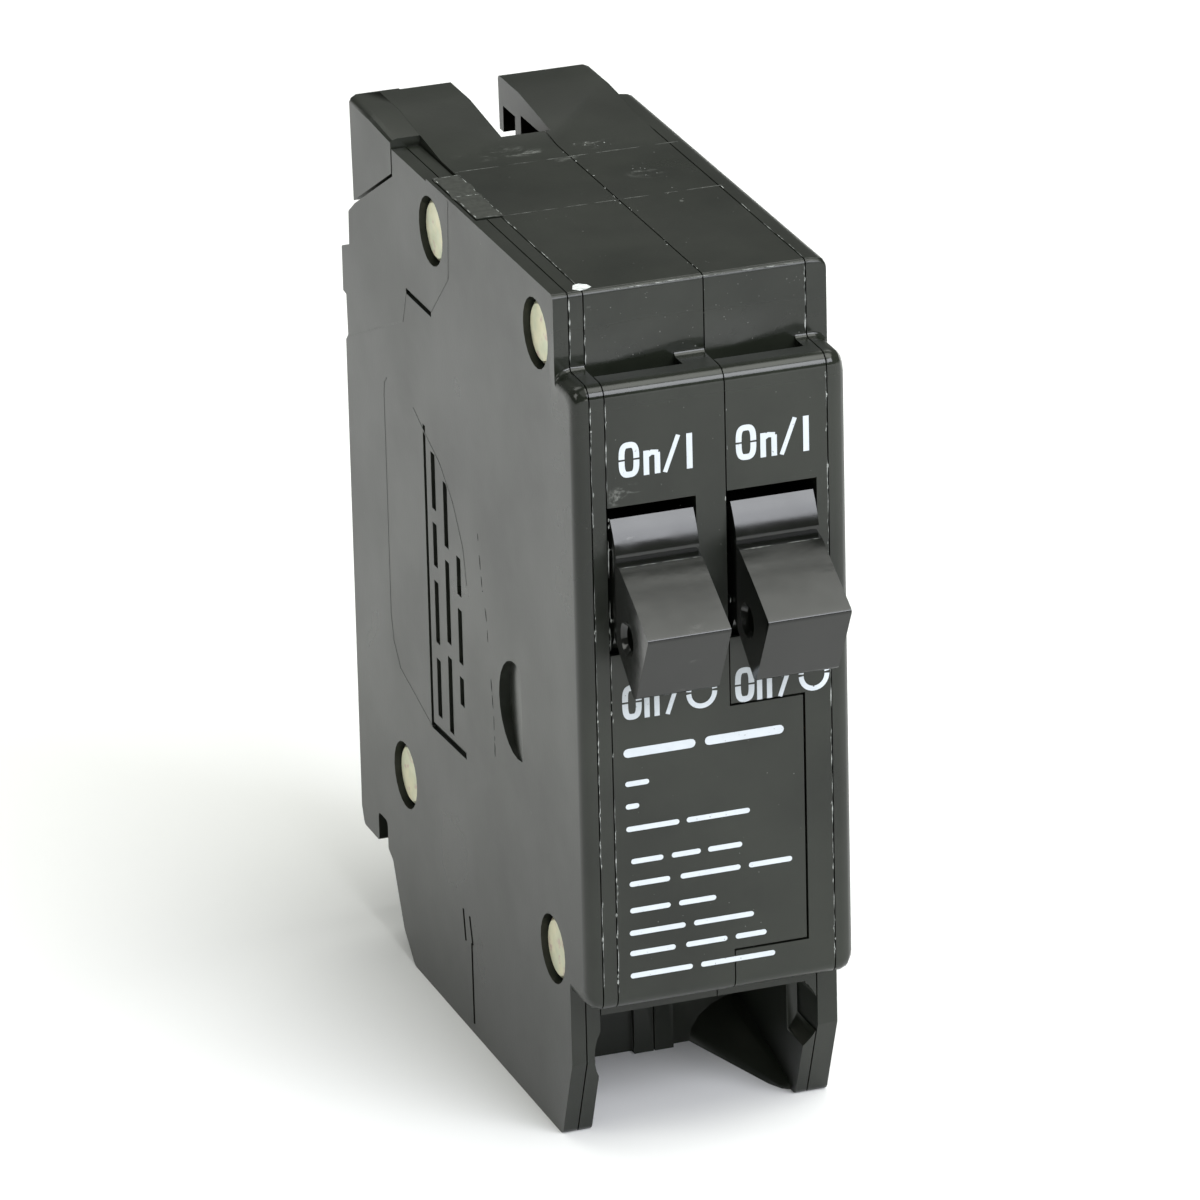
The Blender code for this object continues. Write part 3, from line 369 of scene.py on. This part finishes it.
# Material name, two tones and roughness, then the scale of the mottle and its stretch along x, y, z.
METALS = {
    "zinc_screw": ("zinc_plate", (0.66, 0.63, 0.55), (0.5, 0.48, 0.42), 0.34),
    "steel": ("stamped_steel", (0.5, 0.5, 0.51), (0.4, 0.4, 0.41), 0.36, 400, (1, 1, 8)),
    "copper": ("copper_strip", (0.75, 0.42, 0.27), (0.6, 0.32, 0.2), 0.33, 400, (1, 6, 1)),
    "contact": ("silver_contact", (0.85, 0.85, 0.83), (0.74, 0.74, 0.72), 0.3),
    "bimetal": ("bimetal_strip", (0.6, 0.56, 0.48), (0.52, 0.49, 0.43), 0.38, 400, (6, 1, 1)),
}
MATERIALS = {}


def make_materials():
    MATERIALS["case"] = moulding_material("case_plastic", CASE_DARK, CASE_LIGHT, CASE_ROUGHNESS)
    MATERIALS["edge"] = edge_material("case_edge", (0.022, 0.024, 0.02), (0.26, 0.27, 0.25))
    MATERIALS["handle"] = handle_material()
    MATERIALS["handle_edge"] = edge_material("handle_edge", (0.016, 0.016, 0.015), (0.07, 0.07, 0.068))
    MATERIALS["print"] = print_material()
    for key, values in PLAIN.items():
        MATERIALS[key] = plain_material(*values)
    MATERIALS["rivet"] = rivet_material()
    for key, values in METALS.items():
        MATERIALS[key] = metal_material(*values)


# ---------------------------------------------------------------- mesh helpers

def new_object(name, mesh):
    data = bpy.data.meshes.new(name)
    mesh.to_mesh(data)
    mesh.free()
    item = bpy.data.objects.new(name, data)
    bpy.context.scene.collection.objects.link(item)
    return item


def flat_shape(name, corners):
    mesh = bmesh.new()
    mesh.faces.new([mesh.verts.new(corner) for corner in corners])
    return new_object(name, mesh)


def clean_copy(node):
    """The CAD node's shape as one welded mesh with flat areas joined."""
    mesh = bmesh.new()
    mesh.from_mesh(frame["nodes"][node].data)
    bmesh.ops.remove_doubles(mesh, verts=mesh.verts, dist=1e-7)
    bmesh.ops.dissolve_limit(mesh, angle_limit=radians(0.4), verts=mesh.verts, edges=mesh.edges)
    return mesh


def declare(piece, body=HOUSING):
    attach(piece, body)
    return piece


# ---------------------------------------------------------------- pieces made from the CAD shapes

# Edges that turn by more than this are rounded, and those shorter than this only slightly.
SHARP_TURN = radians(38)
SHORT_EDGE, SHORT_SHARE = 0.55 * UNIT, 0.3
CASE_ROUND, HANDLE_ROUND = 0.14 * MM, 0.2 * MM


def refined(node, name, body, materials, width, segments=2, folds=False):
    """A piece with rounded edges that stands for a CAD node. Folds rounds its inner corners too."""
    mesh = clean_copy(node)
    weights = mesh.edges.layers.float.new("bevel_weight_edge")
    for edge in mesh.edges:
        if edge.calc_face_angle(0) > SHARP_TURN:
            if edge.is_convex or folds:
                edge[weights] = 1 if edge.calc_length() > SHORT_EDGE else SHORT_SHARE
            else:
                edge.smooth = False
    piece = new_object(name, mesh)
    for key in materials:
        piece.data.materials.append(MATERIALS[key])
    for face in piece.data.polygons:
        face.use_smooth = True
        face.material_index = 0
    bevel = piece.modifiers.new("round_edges", "BEVEL")
    bevel.width = width
    bevel.segments = segments
    bevel.limit_method = "WEIGHT"
    bevel.material = len(materials) - 1
    even = piece.modifiers.new("even_normals", "WEIGHTED_NORMAL")
    even.weight = 80
    even.keep_sharp = True
    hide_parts(node)
    return declare(piece, body)


def make_casing():
    for node in ("left_cover", "left_liner", "left_case", "right_case", "right_cover"):
        refined(node, f"{node}_shell", HOUSING, ("case", "edge"), CASE_ROUND)


def crown_lever(piece, sag):
    """Bulges the flat top of the lever, the largest face that looks up and forwards."""
    mesh = bmesh.new()
    mesh.from_mesh(piece.data)
    mesh.normal_update()
    tops = [face for face in mesh.faces if face.normal.z > 0.7 and face.normal.y < -0.4]
    top = max(tops, key=lambda face: face.calc_area())
    normal = top.normal.copy()
    slope = Vector((0, -normal.z, normal.y))
    reach = [vertex.co.dot(slope) for vertex in top.verts]
    low, high = min(reach), max(reach)
    sides = [edge for edge in top.edges
             if abs((edge.verts[0].co - edge.verts[1].co).normalized().x) < 0.5]
    bmesh.ops.subdivide_edges(mesh, edges=sides, cuts=7, use_grid_fill=True)
    for vertex in mesh.verts:
        share = (vertex.co.dot(slope) - low) / (high - low)
        off_plane = abs((vertex.co - top.verts[0].co).dot(normal))
        if 0.001 < share < 0.999 and off_plane < 0.01 * MM:
            vertex.co += normal * sag * 4 * share * (1 - share)
    mesh.to_mesh(piece.data)
    mesh.free()


LEVER_CROWN = 0.12 * UNIT
# The lower corner of the lever's tip in (y, z), the reach around it, and how far it moves.
TIP_CORNER, TIP_REACH, TIP_DROP = (-11.2, -34.2), 1.0, (0.6, -1.15)


def deepen_tip(piece):
    """Moves the lever tip's lower edge down, to the thickness in the photo."""
    corner = spot(0, *TIP_CORNER)
    for vertex in piece.data.vertices:
        if hypot(vertex.co.y - corner.y, vertex.co.z - corner.z) < TIP_REACH * UNIT:
            vertex.co += Vector((0, *TIP_DROP)) * UNIT


def make_handles():
    for side in SIDES:
        toggle = refined(f"{side}_handle", f"{side}_toggle", f"{side}_toggle",
                         ("handle", "handle_edge"), HANDLE_ROUND, 3, folds=True)
        crown_lever(toggle, LEVER_CROWN)
        deepen_tip(toggle)


def finish_metal():
    """Better materials on the CAD nodes that keep their shape."""
    slots = {part["node"]: part["material_slot"] for part in frame["record"]["subparts"]}
    for node, item in frame["nodes"].items():
        key = slots[node]
        if key in MATERIALS and not item.hide_render:
            item.data.materials.clear()
            item.data.materials.append(MATERIALS[key])


# ---------------------------------------------------------------- thin plates for print and marks

UP, FRONT, LEFT = Vector((0, 0, 1)), Vector((0, -1, 0)), Vector((-1, 0, 0))
# How far marks stand out of the surface, and how far their plates go into it.
MARK_RISE, LINE_RISE, WEAR_RISE, MARK_SUNK = 0.015 * MM, 0.02 * MM, 0.01 * MM, 0.03 * MM


def prism(mesh, ring, normal, rise):
    """A thin closed plate whose outline is a list of points on the surface."""
    upper = [mesh.verts.new(point + normal * rise) for point in ring]
    lower = [mesh.verts.new(point - normal * MARK_SUNK) for point in ring]
    mesh.faces.new(upper)
    mesh.faces.new(reversed(lower))
    for i in range(len(ring)):
        j = (i + 1) % len(ring)
        mesh.faces.new((upper[i], lower[i], lower[j], upper[j]))


def finish_marks(name, mesh, material, body=HOUSING):
    bmesh.ops.recalc_face_normals(mesh, faces=mesh.faces)
    piece = new_object(name, mesh)
    piece.data.materials.append(MATERIALS[material])
    return declare(piece, body)


# ---------------------------------------------------------------- print on the front

PRINT_RISE = 0.02 * MM
PRINT_HALF, PRINT_TALL = 0.275, 3.35
STENCIL_GAP, RING_GAP = 0.6, 4
# Strokes after the first O: points from the mark's lower left corner, then the stroke's width and
# rise as shares of the usual ones.
ON_STROKES = [
    ([(2.6, 0), (2.6, 2.3)], 0.95, 1),
    ([(3.65, 0), (3.65, 2.0)], 0.95, 1),
    ([(2.7, 1.85), (3.1, 2.08), (3.72, 1.98)], 0.9, 1.1),
    ([(4.35, 0), (5.65, PRINT_TALL)], 0.75, 1),
    ([(6.7, 0), (6.7, PRINT_TALL)], 1, 1),
]
OFF_STROKES = []
for stem in (2.35, 3.3):
    OFF_STROKES += [
        ([(stem, 0), (stem, PRINT_TALL - 0.7), (stem + 0.25, PRINT_TALL - 0.4),
          (stem + 0.7, PRINT_TALL - 0.35)], 0.9, 1),
        ([(stem - 0.45, 2.3), (stem + 0.6, 2.3)], 0.6, 1.1),
    ]
OFF_STROKES += [([(4.3, 0), (5.5, PRINT_TALL)], 0.75, 1)]
LETTER_ROUND, RING_ROUND = 0.6, 0.95
ON_LETTER, OFF_LETTER, RING_LEFT, RING_WIDTH = 1.4, 1.3, 6.35, 2.5
# Label rows: z, then the left and right ends of each bar.
TITLE_TALL, SMALL_TALL = 0.85, 0.5
TITLE_ROW = (-42.6, [(-8.8, -1.9), (-1.0, 6.6)])
SMALL_ROWS = [
    (-45.6, [(-8.7, -6.4)]),
    (-47.8, [(-8.7, -7.4)]),
    (-50.0, [(-8.7, -3.6), (-2.9, 3.2)]),
    (-53.2, [(-8.3, -5.2), (-4.4, -1.6), (-0.9, 2.4)]),
    (-55.4, [(-8.5, -4.6), (-3.6, 2.2), (3.0, 7.2)]),
    (-58.0, [(-8.5, -4.6), (-3.8, -0.2)]),
    (-60.2, [(-8.6, -3.2), (-2.4, 3.4)]),
    (-62.2, [(-8.6, -4.2), (-3.2, 0.8), (1.6, 4.6)]),
    (-64.4, [(-8.6, -2.6), (-1.8, 5.4)]),
]


def stroke(mesh, points, half, rise):
    """A thick line in pad print on the nose, through (x, z) drawing points."""
    sides = ([], [])
    for index, (x, z) in enumerate(points):
        before = points[max(index - 1, 0)]
        after = points[min(index + 1, len(points) - 1)]
        run, climb = after[0] - before[0], after[1] - before[1]
        size = hypot(run, climb)
        across = (-climb / size * half, run / size * half)
        sides[0].append((x + across[0], z + across[1]))
        sides[1].append((x - across[0], z - across[1]))
    ring = [spot(x, NOSE_Y, z) for x, z in sides[0] + sides[1][::-1]]
    prism(mesh, ring, FRONT, rise)


def bowl(left, foot, width, height, start, end, square):
    """Points of a rounded oval from one angle to another, for the letter O and the ring."""
    points = []
    for step in range(17):
        angle = radians(start + (end - start) * step / 16)
        across, above = cos(angle), sin(angle)
        across = abs(across) ** square * (1 if across > 0 else -1)
        above = abs(above) ** square * (1 if above > 0 else -1)
        points.append((left + width / 2 * (1 + across), foot + height / 2 * (1 + above)))
    return points


def print_oval(mesh, left, foot, width, gap, square, half):
    """An oval in two stencil strokes, with a gap of some degrees on each side between them."""
    for start, end in ((gap, 180 - gap), (180 + gap, 360 - gap)):
        points = bowl(left, foot + PRINT_HALF, width, PRINT_TALL - 2 * PRINT_HALF, start, end, square)
        stroke(mesh, points, half, PRINT_RISE)


def print_mark(name, left, foot, letter_width, strokes, ring=False):
    """A generic "On / I" or "Off / O" mark in stencil strokes."""
    mesh = bmesh.new()
    print_oval(mesh, left + PRINT_HALF, foot, letter_width, STENCIL_GAP, LETTER_ROUND, PRINT_HALF)
    for points, width, rise in strokes:
        stroke(mesh, [(left + x, foot + z) for x, z in points], PRINT_HALF * width, PRINT_RISE * rise)
    if ring:
        print_oval(mesh, left + RING_LEFT, foot, RING_WIDTH, RING_GAP, RING_ROUND, PRINT_HALF * 0.85)
    finish_marks(name, mesh, "print")


def print_bars(name, rows):
    """Rows of short bars with round ends that stand for small print: (z, height, bars)."""
    mesh = bmesh.new()
    for z, height, runs in rows:
        half = height / 2
        for left, right in runs:
            ring = []
            for x, turn in ((right - half, -90), (left + half, 90)):
                for step in range(7):
                    angle = radians(turn + 30 * step)
                    ring.append(spot(x + half * cos(angle), NOSE_Y, z + half * sin(angle)))
            prism(mesh, ring, FRONT, PRINT_RISE)
    finish_marks(name, mesh, "print")


def make_print():
    print_mark("print_left_on", -8.6, -16.2, ON_LETTER, ON_STROKES)
    print_mark("print_right_on", 2.5, -16.2, ON_LETTER, ON_STROKES)
    print_mark("print_left_off", -8.8, -39.4, OFF_LETTER, OFF_STROKES, ring=True)
    print_mark("print_right_off", 2.0, -39.4, OFF_LETTER, OFF_STROKES, ring=True)
    rows = [(TITLE_ROW[0], TITLE_TALL, TITLE_ROW[1])]
    rows += [(z, SMALL_TALL, runs) for z, runs in SMALL_ROWS]
    print_bars("print_label", rows)


# ---------------------------------------------------------------- lines, scuffs and scratches

def ridge(mesh, path, normal, half, rise):
    """A low raised line along drawing points, one plate for each stretch."""
    points = [spot(*point) for point in path]
    for start, end in zip(points, points[1:]):
        way = (end - start).normalized()
        across = normal.cross(way) * half * UNIT
        lap = way * half * UNIT * 0.5
        ring = [start - lap + across, start - lap - across, end + lap - across, end + lap + across]
        prism(mesh, ring, normal, rise)


def broken_line(mesh, path, normal, rng, share, widths, lengths, jitter=0.05):
    """Slivers of uneven length and width along drawing points, with gaps between them."""
    for first, last in zip(path, path[1:]):
        start, end = spot(*first), spot(*last)
        total = (end - start).length / UNIT
        way = (end - start).normalized()
        across = normal.cross(way)
        done = 0.0
        while done < total:
            length = min(rng.uniform(*lengths), total - done)
            if rng.random() < share and length > 0.08:
                half = rng.uniform(*widths) / 2
                aside = across * rng.uniform(-jitter, jitter) * UNIT
                head = start + way * done * UNIT + aside
                tail = head + way * length * UNIT
                third = (tail - head) / 3
                wide = across * half * UNIT
                thin = wide * rng.uniform(0.3, 0.9)
                ring = [head, head + third + wide, tail - third + thin, tail, tail - third - wide,
                        head + third - thin]
                prism(mesh, ring, normal, MARK_RISE)
            done += length * rng.uniform(1.0, 1.5)


def specks(mesh, low, high, normal, rng, count, sizes):
    """Small uneven flecks scattered in a box of drawing units."""
    for _ in range(count):
        middle = spot(*(rng.uniform(a, b) for a, b in zip(low, high)))
        first = normal.orthogonal().normalized()
        second = normal.cross(first)
        size = rng.uniform(*sizes) * UNIT / 2
        sides = rng.randint(4, 6)
        turn = rng.uniform(0, pi)
        ring = []
        for i in range(sides):
            angle = turn + 2 * pi * i / sides
            reach = size * rng.uniform(0.6, 1.2)
            ring.append(middle + (first * cos(angle) + second * sin(angle)) * reach)
        prism(mesh, ring, normal, MARK_RISE)


# Seams between the mouldings, and the planes that the marks lie on.
COVER_X, LINER_X, MIDDLE_X, RIGHT_X = -11.25, -9.83, 1.53, 11.27
SEAM_INSET = 0.088
TOP_Z, SHOULDER_Y, NOSE_TOP_Z, NOSE_LOW_Z = 0, 0, -7.3, -67.6
TAB_LEFT, TAB_RIGHT, TAB_FRONT, TAB_BACK, TAB_TOP = -12.2, -9.6, 21.9, 34.1, 0.06


def seam_scuffs():
    """Pale broken scuffs where the mouldings meet on the nose, the shoulder and the top."""
    rng = Random(11)
    mesh = bmesh.new()
    for x in (COVER_X, LINER_X, RIGHT_X):
        beside = x + (SEAM_INSET if x < 0 else -SEAM_INSET)
        nose = [(beside, NOSE_Y, NOSE_TOP_Z - 1.6), (beside, NOSE_Y, NOSE_LOW_Z + 1.6)]
        broken_line(mesh, nose, FRONT, rng, 0.85, (0.03, 0.12), (0.6, 3.6), 0.03)
        broken_line(mesh, nose, FRONT, rng, 0.2, (0.08, 0.2), (0.2, 0.7), 0.1)
        wall = [(beside, SHOULDER_Y, TOP_Z - 0.5), (beside, SHOULDER_Y, NOSE_TOP_Z + 0.3)]
        broken_line(mesh, wall, FRONT, rng, 0.95, (0.06, 0.18), (0.4, 1.8), 0.04)
    for x, back in ((LINER_X, TAB_FRONT - 0.4), (RIGHT_X, TAB_FRONT)):
        top = [(x + 0.1, 0.6, TOP_Z), (x + 0.1, back, TOP_Z)]
        broken_line(mesh, top, UP, rng, 0.8, (0.03, 0.1), (0.5, 3.0), 0.04)
    for x in (MIDDLE_X - 0.12, MIDDLE_X + 0.14):
        top = [(x, 0.5, TOP_Z), (x, 38, TOP_Z)]
        broken_line(mesh, top, UP, rng, 0.07, (0.05, 0.16), (0.15, 0.5), 0.1)
        nose = [(x, NOSE_Y, -9), (x, NOSE_Y, -38)]
        broken_line(mesh, nose, FRONT, rng, 0.07, (0.04, 0.12), (0.15, 0.6), 0.08)
    edge_z = TOP_Z - 0.16
    front_edge = [(LINER_X + 0.4, SHOULDER_Y, edge_z), (RIGHT_X - 0.3, SHOULDER_Y, edge_z)]
    broken_line(mesh, front_edge, FRONT, rng, 0.8, (0.03, 0.08), (0.6, 3.4), 0.03)
    finish_marks("seam_scuffs", mesh, "scuff")


def tab_scuffs():
    """The tab's worn top with jagged edges, and the small line across it."""
    rng = Random(5)
    mesh = bmesh.new()
    edge = []
    walk = [((TAB_LEFT, TAB_FRONT), (0, 1), 12), ((TAB_LEFT, TAB_BACK), (1, 0), 4),
            ((TAB_RIGHT, TAB_BACK), (0, -1), 12), ((TAB_RIGHT, TAB_FRONT), (-1, 0), 4)]
    for (x, y), (way_x, way_y), count in walk:
        length = (TAB_BACK - TAB_FRONT) if way_y else (TAB_RIGHT - TAB_LEFT)
        for step in range(count):
            aside = rng.uniform(-0.16, 0.16)
            share = step / count * length
            edge.append(spot(x + way_x * share + abs(way_y) * aside,
                             y + way_y * share + abs(way_x) * aside, TAB_TOP))
    prism(mesh, edge, UP, WEAR_RISE)
    finish_marks("tab_wear", mesh, "worn")
    mesh = bmesh.new()
    left, right = TAB_LEFT + 0.12, TAB_RIGHT - 0.05
    corners = [(left, TAB_FRONT + 0.15), (right, TAB_FRONT + 0.15), (right, TAB_BACK - 0.15),
               (left, TAB_BACK - 0.15), (left, TAB_FRONT + 0.15)]
    outline = [(x, y, TAB_TOP) for x, y in corners]
    broken_line(mesh, outline, UP, rng, 0.8, (0.04, 0.12), (0.3, 1.6), 0.06)
    across = [(left, 28.4, TAB_TOP), (right, 28.2, TAB_TOP)]
    broken_line(mesh, across, UP, rng, 0.95, (0.06, 0.14), (0.4, 1.0))
    finish_marks("tab_scuffs", mesh, "scuff")


def top_marks():
    """Mould lines across the top, pale rubs at the horns' feet, and the chip at the front edge."""
    rng = Random(23)
    mesh = bmesh.new()
    for y, left in ((35.0, LINER_X + 0.2), (21.9, TAB_RIGHT)):
        across = [(left, y, TOP_Z), (OUTER_X - 0.8, y, TOP_Z)]
        broken_line(mesh, across, UP, rng, 0.97, (0.09, 0.17), (1.2, 4.5), 0.02)
    specks(mesh, (-8.6, 1, TOP_Z), (10.6, 34, TOP_Z), UP, rng, 46, (0.06, 0.18))
    specks(mesh, (-9.3, SHOULDER_Y, -6.8), (10.9, SHOULDER_Y, -0.6), FRONT, rng, 60, (0.05, 0.16))
    specks(mesh, (-9, NOSE_Y, -34), (10.5, NOSE_Y, -9.2), FRONT, rng, 46, (0.05, 0.13))
    specks(mesh, (-9, NOSE_Y, -66), (8.2, NOSE_Y, -42), FRONT, rng, 34, (0.05, 0.13))
    finish_marks("top_marks", mesh, "faint")
    mesh = bmesh.new()
    specks(mesh, (2.2, 36.2, TOP_Z), (6.5, 38.2, TOP_Z), UP, rng, 8, (0.06, 0.2))
    specks(mesh, (5.2, 27, TOP_Z), (8.2, 29.5, TOP_Z), UP, rng, 7, (0.05, 0.18))
    specks(mesh, (MIDDLE_X - 0.5, 4, TOP_Z), (MIDDLE_X + 0.6, 33, TOP_Z), UP, rng, 8, (0.08, 0.22))
    finish_marks("top_rubs", mesh, "scuff")
    mesh = bmesh.new()
    chip = [(-10.5, 0.9), (-10.1, 1.9), (-9.5, 2.1), (-8.9, 1.6), (-8.7, 0.9), (-9.3, 0.5),
            (-10.0, 0.4)]
    prism(mesh, [spot(x, y, TOP_Z) for x, y in chip], UP, LINE_RISE)
    finish_marks("top_chip", mesh, "chip")


def node_sides(node):
    """The lowest and highest x of a node, in drawing units."""
    low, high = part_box(node)
    return [LEFT_X + (x - cad_box[0][0]) / UNIT for x in (low[0], high[0])]


def painted_handle_highlights():
    """Painted highlights: pale lines along each lever's fold and along the top edge of its tip, where
    these edges catch the light.
    """
    rng = Random(31)
    upward = Vector((0, -0.5, 0.86)).normalized()
    for side in SIDES:
        low, high = node_sides(f"{side}_handle")
        mesh = bmesh.new()
        fold = [(low + 0.2, -7.1, -23.86), (high - 0.2, -7.1, -23.86)]
        broken_line(mesh, fold, upward, rng, 1.0, (0.07, 0.11), (1.5, 4.0), 0.02)
        tip = [(low + 0.3, -14.08, -28.18), (high - 0.3, -14.08, -28.18)]
        broken_line(mesh, tip, upward, rng, 0.9, (0.05, 0.1), (0.8, 3.0), 0.03)
        finish_marks(f"{side}_painted_handle_highlights", mesh, "faint", f"{side}_toggle")


# Lines on the left face, in (y, z): the edges of the raised rear area and the outline of the panel.
LEFT_LINES = [
    [(28.4, -0.3), (28.9, -7.9), (34.0, -12.7)],
    [(41.2, -13.2), (42.4, -16.5), (50.0, -19.7), (58.8, -23.5)],
    [(47.9, -24.0), (48.6, -24.6), (48.8, -26.0), (48.8, -48.0), (48.2, -50.6), (46.4, -52.8),
     (37.8, -55.2)],
    [(40.2, -24.4), (37.0, -25.8), (33.0, -27.4), (29.6, -30.0), (27.0, -33.6), (26.2, -37.0)],
]
LEFT_SCRATCH = [(22.6, -30.6), (21.6, -36.0), (20.7, -38.6), (20.0, -44.0), (19.4, -47.5), (19.3, -51.5)]


def left_face_lines():
    """Low lines of the moulding on the left face, and a broken scratch."""
    mesh = bmesh.new()
    for path in LEFT_LINES:
        ridge(mesh, [(LEFT_X, y, z) for y, z in path], LEFT, 0.1, LINE_RISE)
    finish_marks("left_face_lines", mesh, "edge_line")
    rng = Random(3)
    mesh = bmesh.new()
    path = [(LEFT_X, y, z) for y, z in LEFT_SCRATCH]
    broken_line(mesh, path, LEFT, rng, 0.8, (0.05, 0.22), (0.4, 1.6), 0.06)
    finish_marks("left_face_scratch", mesh, "scratch")


make_camera()
make_materials()
make_studio()
make_casing()
make_handles()
make_print()
seam_scuffs()
tab_scuffs()
top_marks()
painted_handle_highlights()
left_face_lines()
finish_metal()

bpy.context.view_layer.update()
